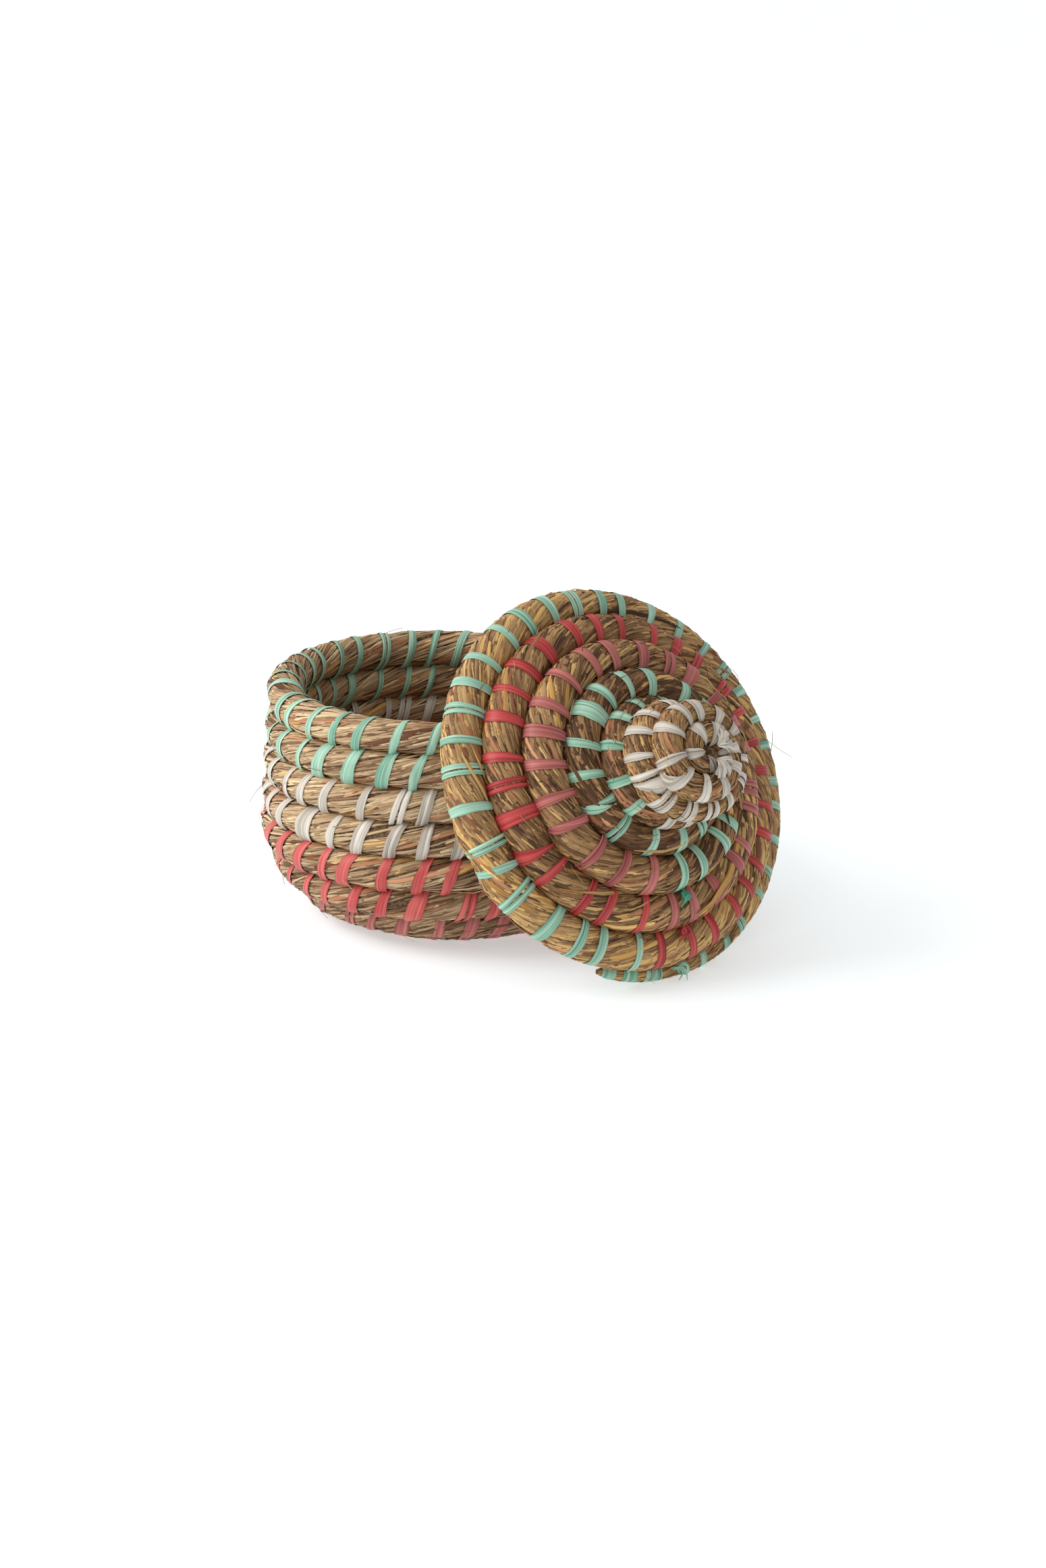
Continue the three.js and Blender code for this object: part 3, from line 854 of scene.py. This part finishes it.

# %% Grass on the pot
# Each part has the shares of the rope where it starts and ends, its painted shading and its seed.
# The lower rows are darker: painted shade, as less light reaches the bottom of the pot.
SLANTS = {"pot": -0.36, "lid": -0.4}
POT_GRASS = [
    ("pot_grass_low", 0.0, 0.45, -0.22, 20),
    ("pot_grass_high", 0.45, 1.0, 0.03, 40),
]
for name, first, last, tone, seed in POT_GRASS:
    piece = grown(
        name, blades, "pot", Count=4600, Finish=pot_grass, Slant=SLANTS["pot"], Narrowest=0.6 * MM,
        Widest=1.4 * MM, First=first, Last=last, Tone=tone, Seed=seed,
    )
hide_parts("pot_rope")

# %% Grass on the lid
# The blades are counted by length: few on the knob, and more where the rope is long and thick.
# The column before the seed is painted shading: the inner rows near the knob are darker as painted
# shade, and the edge row is lighter as painted light.
LID_GRASS = [
    ("lid_grass_knob", 0.0, 0.144, 1000, 0.02, 60),
    ("lid_grass_inner", 0.144, 0.36, 1500, -0.3, 70),
    ("lid_grass_rows", 0.36, 0.68, 2200, -0.08, 75),
    ("lid_grass_edge", 0.68, 1.0, 2200, 0.12, 80),
]
for name, first, last, count, tone, seed in LID_GRASS:
    piece = grown(
        name, blades, "lid", Count=count, Finish=lid_grass, Slant=SLANTS["lid"], Narrowest=0.7 * MM,
        Widest=1.8 * MM, Longest=65 * MM, First=first, Last=last, Tone=tone, Seed=seed,
    )
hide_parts("lid_rope")

# %% [markdown]
# Here and there lies a broad blade of another colour, rusty where the dry sheath stayed on the stem and
# golden where the sun bleached it. They could be dots of colour in the material, but a real one lies on
# top and catches the light. The tree of blades makes them too, which is why its sizes are inputs.

# %% A few broad blades in other colours
# Each kind has its body, its number, the shares of the rope where it starts and ends, and its seed.
BROAD_BLADES = [
    ("pot_blades_rust", "pot", 260, 0.3, 0.97, rust_grass, 90),
    ("pot_blades_gold", "pot", 90, 0.4, 0.99, gold_grass, 95),
    ("lid_blades_rust", "lid", 240, 0.02, 0.9, rust_grass, 100),
    ("lid_blades_gold", "lid", 200, 0.3, 0.99, gold_grass, 110),
]
for name, body, count, first, last, finish, seed in BROAD_BLADES:
    piece = grown(
        name, blades, body, Count=count, Finish=finish, Slant=SLANTS[body], Proud=0.075,
        Narrowest=1.2 * MM, Widest=2.4 * MM, Shortest=18 * MM, Longest=45 * MM,
        First=first, Last=last, Seed=seed,
    )

# %% [markdown]
# The sewing is the eye catcher. A strip comes out of the seam below, goes over the row, into the seam
# above and back down inside, again and again. A curve with a flat profile could follow all of it, but
# twists where it turns. So each wrap is a ribbon of its own, laid round the rope by the same group as
# the grass. Its place, width and lean come from the list of stitches, one point for each.

# %% A stitch, repeated
stitches, given, result = new_tree(
    "Stitches on a rope",
    [
        ("Stitches", "NodeSocketGeometry", None),
        ("Rope", "NodeSocketObject", None),
        ("Bite", "NodeSocketFloat", 0.16),
        ("Finish", "NodeSocketMaterial", None),
    ],
    [("Geometry", "NodeSocketGeometry")],
)
curve = rope_curve(stitches, given["Rope"])
loose, across, run, who = repeated(stitches, given["Stitches"], columns=7, rows=33)
wrap = run + 0.5

# %% How a stitch goes round the rope
# From 0 to a half the wrap is on the outer side, and from there to 1 it goes back inside.
turned = wrap * TURN
outside_part = (wrap * 2.0).do("MINIMUM", 1.0)
inside_part = (wrap * 2.0 - 1.0).do("MAXIMUM", 0.0)
start = attribute(stitches, "start")
width = attribute(stitches, "width")
lean = attribute(stitches, "lean")
back = attribute(stitches, "back")
belly = turned.sine().do("ABSOLUTE")
ragged = (wrap * 41.0 + who * 2.3).sine() * 0.04 + (wrap * 17.0 + who * 5.1).sine() * 0.05
width_here = width * (belly.power(0.6) * 0.2 + 0.78 + ragged)
bow = turned.sine() * attribute(stitches, "bow")
along = start + lean * (outside_part - 0.5) + back * inside_part + bow + across * width_here
round_it = turned * -1.0 + 90 * DEGREE
arch = (across * across) * -4.0 + 1.0
near_seam = turned.cosine().do("MAXIMUM", 0.0).power(3.0)
bite = near_seam * given["Bite"]
folds = (across * 11.0 + who * 1.7 + wrap * 4.0).sine() * 0.009
away = arch * 0.03 + folds + bite + 1.06

# %% The stitch's grain and finish
grain = (
    wrap * 0.036 + who * 0.7,
    across * width_here + who * 0.013,
    across.do("ABSOLUTE") * 2.0,
)
strips = laid(stitches, loose, grain, placed(stitches, curve, along, round_it, away))
finished(stitches, strips, given["Finish"], result)


# %% From a list of stitches to a piece
def stitch_points(name, row):
    """One point for each stitch, with the stitch's own numbers as attributes."""
    mesh = bpy.data.meshes.new(name + "_points")
    mesh.from_pydata([(0, 0, 0)] * len(row), [], [])
    for label in ("start", "width", "lean", "back", "bow", "tone", "who"):
        data = mesh.attributes.new(label, "FLOAT", "POINT").data
        for index, stitch in enumerate(row):
            data[index].value = index if label == "who" else stitch[label]
    return mesh


def sew(name, body, shade, row, node):
    piece = grown(name, stitches, body, host=stitch_points(name, row), Finish=raffia[shade])
    if node:
        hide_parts(node)
    "raffia_" + shade


# %% Sewing on the pot and on the lid
for body, rows, made in (("pot", POT_SEWING, pot_rows), ("lid", LID_SEWING, lid_rows)):
    for (name, shade, first, last, spacing, width, node), row in zip(rows, made):
        sew(name, body, shade, row, node)

# %% [markdown]
# Where one colour ends and the next begins, the sewer ties the strips in a small knot: a few loops of
# flat strip pulled tight, with frayed ends. A curve with a bevel makes a strand too, but its flat side
# turns as it likes. Here each strand is a thin closed tube along a path, and the outward direction that
# is handed over keeps its flat side up. The same function later makes the tufts and the hairs.

# %% Flat and round strands
STRAND_SIDES = 6


def strand(mesh_data, points, half_width, half_thickness, outward, tone):
    """Adds one closed tube along the points, widest across its outward direction."""
    corners, faces, grains, tones = mesh_data
    sides, base, run = STRAND_SIDES, len(corners), 0.0
    for index, point in enumerate(points):
        before, after = points[max(0, index - 1)], points[min(len(points) - 1, index + 1)]
        ahead = (after - before).normalized()
        across = ahead.cross(outward).normalized()
        up = across.cross(ahead)
        run += (point - before).length
        for side in range(sides):
            turn = TURN * side / sides
            width = half_width[index] * math.cos(turn)
            corners.append(point + across * width + up * half_thickness * math.sin(turn))
            grains.append((run, width + tone, abs(math.cos(turn))))
            tones.append(tone)
    for ring in range(len(points) - 1):
        for side in range(sides):
            one, two = base + ring * sides + side, base + ring * sides + (side + 1) % sides
            faces.append((one, two, two + sides, one + sides))
    faces.append(tuple(base + side for side in reversed(range(sides))))
    end = base + (len(points) - 1) * sides
    faces.append(tuple(end + side for side in range(sides)))


def strand_piece(name, mesh_data, body, finish):
    """One object from many strands. The attributes are fetched by name once both of them exist."""
    corners, faces, grains, tones = mesh_data
    mesh = bpy.data.meshes.new(name)
    mesh.from_pydata(corners, [], faces)
    mesh.attributes.new("grain", "FLOAT_VECTOR", "POINT")
    mesh.attributes.new("tone", "FLOAT", "POINT")
    for index in range(len(corners)):
        mesh.attributes["grain"].data[index].vector = grains[index]
        mesh.attributes["tone"].data[index].value = tones[index]
    mesh.materials.append(finish)
    mesh.polygons.foreach_set("use_smooth", [True] * len(mesh.polygons))
    rested(mesh)
    fix = bmesh.new()
    fix.from_mesh(mesh)
    bmesh.ops.recalc_face_normals(fix, faces=fix.faces)
    fix.to_mesh(mesh)
    fix.free()
    piece = shown(name, mesh)
    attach(piece, body)
    print(name, "has", len(mesh.polygons), "faces")
    return piece


# %% A knot in the place of its solid
LID_OUT = LID_PLACE.to_3x3() @ Vector((0, 0, 1))
LOOP_POINTS, END_POINTS = 15, 7


def knot_of(node, rng):
    """Four tight loops and five frayed ends round the middle of the solid."""
    low, high = (Vector(corner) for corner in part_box(node))
    middle = (low + high) / 2
    mesh_data = ([], [], [], [])
    for number in range(4):
        tilt = Matrix.Rotation(rng.uniform(0, TURN), 3, LID_OUT)
        first = tilt @ LID_OUT.orthogonal().normalized()
        second = LID_OUT.cross(first) * rng.uniform(0.5, 0.9) + LID_OUT * rng.uniform(0.3, 0.9)
        size = rng.uniform(1.1, 1.7) * MM
        path = []
        for step in range(LOOP_POINTS):
            turn = TURN * step / LOOP_POINTS
            path.append(middle + (first * math.cos(turn) + second * math.sin(turn)) * size)
        widths = [rng.uniform(0.55, 0.75) * MM] * len(path)
        strand(mesh_data, path, widths, 0.25 * MM, LID_OUT, rng.random())
    for number in range(5):
        tilt = Matrix.Rotation(rng.uniform(0, TURN), 3, LID_OUT)
        way = tilt @ LID_OUT.orthogonal().normalized()
        reach = rng.uniform(2.2, 4.2) * MM
        path = [
            middle + way * reach * step / (END_POINTS - 1) + LID_OUT * (0.9 - 0.06 * step * step) * MM
            for step in range(END_POINTS)
        ]
        widths = [(0.6 - 0.07 * step) * MM for step in range(END_POINTS)]
        strand(mesh_data, path, widths, 0.14 * MM, LID_OUT, rng.random())
    return mesh_data


# %% The three knots
for shade in ("green", "red", "mint"):
    node = "lid_knot_" + shade
    knot = strand_piece(node + "_tied", knot_of(node, rng), "lid", raffia[shade])
    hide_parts(node)
    "raffia_" + shade

# %% [markdown]
# The coil is wound round a first small knot of grass, which closes the middle of the pot's base. More
# turns of rope would fill it too, but they would have to be thinner than a stem. So it is a flat lens:
# rings of points from pole to pole, made a little lumpy by a sine.

# %% The pad in the middle of the pot's base
PAD_RADIUS, PAD_HALF_HEIGHT, PAD_HEIGHT = 10.0, 2.0, 4.9
PAD_SIDES, PAD_RINGS = 20, 8
LUMPS, LUMP_SHARE = 5, 0.08
PAD_TONE = 0.3


def pad():
    """Corners and faces of the lens, with the same grain and tone that strands have."""
    middle = POT_MIDDLE + Vector((0, 0, PAD_HEIGHT))
    corners = [(middle - Vector((0, 0, PAD_HALF_HEIGHT))) * MM]
    faces = []
    for ring in range(1, PAD_RINGS):
        turn = math.pi * ring / PAD_RINGS
        for side in range(PAD_SIDES):
            angle = TURN * side / PAD_SIDES
            lump = 1 + LUMP_SHARE * math.sin(LUMPS * angle + ring)
            reach = PAD_RADIUS * math.sin(turn) * lump
            height = -PAD_HALF_HEIGHT * math.cos(turn) * lump
            away = Vector((reach * math.cos(angle), reach * math.sin(angle), height))
            corners.append((middle + away) * MM)
    corners.append((middle + Vector((0, 0, PAD_HALF_HEIGHT))) * MM)
    for side in range(PAD_SIDES):
        after = (side + 1) % PAD_SIDES
        faces.append((0, 1 + after, 1 + side))
        for ring in range(PAD_RINGS - 2):
            low = 1 + ring * PAD_SIDES
            faces.append((low + side, low + after, low + PAD_SIDES + after, low + PAD_SIDES + side))
        last = 1 + (PAD_RINGS - 2) * PAD_SIDES
        faces.append((last + side, last + after, len(corners) - 1))
    grains = [(corner.x, corner.y, 0.0) for corner in corners]
    return corners, faces, grains, [PAD_TONE] * len(corners)


pot_pad = strand_piece("pot_base_pad", pad(), "pot", pot_grass)

# %% [markdown]
# On top of the knob the first strips end in two frayed tufts. Cloth or hair could give the fringe its
# fall, but it is only a few millimetres long. So each tuft is a fan of flat strands that rise from the
# middle and bend down at their tips, each a little longer, wider or higher than the next.

# %% Tufts in the middle of the knob
TUFT_HEIGHT, TUFT_RISE, TUFT_DROP = 48.2, 1.9, 1.5
TUFT_SPREAD = 110 * DEGREE
TUFT_STEPS = 8


def tuft(mesh_data, heading, start_radius, reach, count, rng):
    """A fan of strip ends on the top of the knob, in the lid's own millimetres."""
    middle = Vector((math.cos(heading), math.sin(heading), 0)) * start_radius
    for number in range(count):
        way = heading + (number / (count - 1) - 0.5) * TUFT_SPREAD + rng.uniform(-0.1, 0.1)
        far, lift = reach * rng.uniform(0.75, 1.1), rng.uniform(-0.3, 0.5)
        path = []
        for step in range(TUFT_STEPS + 1):
            part = step / TUFT_STEPS
            spot = middle + Vector((math.cos(way), math.sin(way), 0)) * far * part
            rise = (TUFT_RISE + lift) * math.sin(min(1.0, part * 1.7) * math.pi / 2)
            spot.z = TUFT_HEIGHT + rise - TUFT_DROP * part**3
            path.append(LID_PLACE @ (spot * MM + KNOB_ASIDE))
        wide = rng.uniform(0.55, 0.9)
        widths = [wide * (0.7 + 0.5 * step / TUFT_STEPS) * MM for step in range(TUFT_STEPS + 1)]
        strand(mesh_data, path, widths, 0.16 * MM, LID_OUT, rng.random())


tufts = ([], [], [], [])
for heading, start_radius, reach, count in ((18, 3.6, 5.4, 11), (292, 3.4, 5.8, 13)):
    tuft(tufts, heading * DEGREE, start_radius, reach, count, rng)
knob_tufts = strand_piece("lid_knob_tufts", tufts, "lid", raffia["white"])

# %% [markdown]
# Thin stems work loose and stand off the rows, and they soften the basket's edge against the floor. A
# particle system would scatter them, but it isn't a mesh and picks no places. Here most places are
# drawn from the same seed as the stitches, and a few longer hairs are listed one by one.

# %% A hair
HAIR_STEPS = 8


def spot_on(steps, turns, round_it, away):
    """A point on the rope's skin, with the ways out of it and along it."""
    index = max(1, min(len(steps) - 2, round((turns + START_TURNS) * LOOP_STEPS)))
    middle, reach = steps[index]["middle"], steps[index]["reach"]
    ahead = (steps[index + 1]["middle"] - steps[index - 1]["middle"]).normalized()
    way = reach * math.cos(round_it) + ahead.cross(reach) * math.sin(round_it)
    return middle + way * away, way.normalized(), ahead


def hairs(steps, place, places, rng):
    mesh_data = ([], [], [], [])
    turned = place.to_3x3()
    for turns, round_it, length in places:
        spot, outward, ahead = spot_on(steps, turns, round_it, 0.98)
        way = (outward * rng.uniform(0.3, 0.9) + ahead * rng.choice((-1, 1))).normalized()
        curl = (outward.cross(way) * rng.uniform(-0.5, 0.5) - outward * rng.uniform(0.0, 0.35)) / length
        path = []
        for step in range(HAIR_STEPS + 1):
            run = length * step / HAIR_STEPS
            path.append(place @ (spot + (way * run + curl * run * run) * MM))
        widths = [rng.uniform(0.1, 0.2) * (1 - 0.08 * step) * MM for step in range(HAIR_STEPS + 1)]
        strand(mesh_data, path, widths, 0.08 * MM, turned @ outward, rng.random())
    return mesh_data


# %% Loose hairs
def scattered(count, turns_low, turns_high, longest, rng):
    return [
        (rng.uniform(turns_low, turns_high), rng.uniform(-1.1, 1.1), rng.uniform(0.35, 1) * longest)
        for number in range(count)
    ]


pot_places = scattered(70, 3.6, POT_TURNS, 8, rng) + [(6.96, 0.2, 9), (7.0, 0.1, 7), (9.9, 0.4, 6)]
lid_places = scattered(110, 0.5, LID_TURNS, 8, rng) + [(7.53, 0.4, 13), (7.55, 0.2, 10), (7.3, 0.9, 6)]
pot_data = hairs(pot_steps, POT_PLACE, pot_places, rng)
pot_hair_piece = strand_piece("pot_hairs", pot_data, "pot", pot_grass)
lid_data = hairs(lid_steps, LID_PLACE, lid_places, rng)
lid_hair_piece = strand_piece("lid_hairs", lid_data, "lid", lid_grass)

# %% [markdown]
# The stage is a pale floor without an edge in view, under a soft studio light: a wide lamp above on
# the left and a bright room all round, so that the shadow under the lid is soft and grey. More light
# would turn the floor white but bleach the grass, so the floor glows a little by itself.

# %% Floor and light
FLOOR_HALF = 9
floor_mesh = bpy.data.meshes.new("floor")
floor_corners = [(x * FLOOR_HALF, y * FLOOR_HALF, 0) for x, y in ((-1, -1), (1, -1), (1, 1), (-1, 1))]
floor_mesh.from_pydata(floor_corners, [], [(0, 1, 2, 3)])
floor = shown("floor", floor_mesh)
floor_finish, tree, shader = new_material("pale_floor", 0.8)
shader.inputs["Base Color"].default_value = (0.69, 0.75, 0.77, 1)
shader.inputs["Emission Color"].default_value = (1, 1, 1, 1)
shader.inputs["Emission Strength"].default_value = 0.45
floor_mesh.materials.append(floor_finish)

# %% A bright room and a lamp
world = bpy.data.worlds.new("bright_room")
world.use_nodes = True
sky = out(add(world.node_tree, "ShaderNodeTexCoord"), "Generated")
window = sky.do("DOT_PRODUCT", (-0.85, 0.1, 0.5)).do("MAXIMUM", 0.0).power(2.0)
background = world.node_tree.nodes["Background"]
background.inputs["Color"].default_value = (1, 1, 1, 1)
feed(background.inputs["Strength"], window * 0.82 + 0.54)
bpy.context.scene.world = world
bpy.context.scene.view_settings.view_transform = "Standard"


def lamp(name, place, target, size, power):
    light = bpy.data.lights.new(name, "AREA")
    light.size = size
    light.energy = power
    holder = shown(name, light)
    holder.location = Vector(place)
    holder.rotation_euler = (Vector(target) - Vector(place)).to_track_quat("-Z", "Y").to_euler()


lamp("key_lamp", (-0.95, -0.2, 0.8), (0, 0, 0.05), 0.6, 8)
print("lamps:", len(bpy.data.lights))

# %% [markdown]
# The camera looks along +Y from a little above, from a metre away. It could be moved by eye until the
# picture fits. Here its place was worked out from the oval of the pot's rim and the line of its foot,
# so that only two shifts were left to set, to the right and up.

# %% Camera
ELEVATION = 19.2 * DEGREE
DISTANCE = 1047
SHIFT_RIGHT, SHIFT_UP = 23.14, 38.28
right = Vector((1, 0, 0))
up = Vector((0, math.sin(ELEVATION), math.cos(ELEVATION)))
back_way = Vector((0, -math.cos(ELEVATION), math.sin(ELEVATION)))
eye = back_way * DISTANCE + right * SHIFT_RIGHT + up * SHIFT_UP + POT_MIDDLE
camera_data = bpy.data.cameras.new("camera")
camera_data.sensor_fit = "VERTICAL"
camera_data.sensor_height = 36
camera_data.lens = 69.77
camera_data.clip_start = 0.01
camera = shown("camera", camera_data)
camera.location = eye * MM
camera.rotation_euler = (90 * DEGREE - ELEVATION, 0, 0)
bpy.context.scene.camera = camera
print("the camera stands at", [round(value, 3) for value in camera.location])

# %% [markdown]
# The guides have done their work and go.

# %% The guides go
for guide in GUIDES.values():
    bpy.data.objects.remove(guide)
bpy.context.view_layer.update()
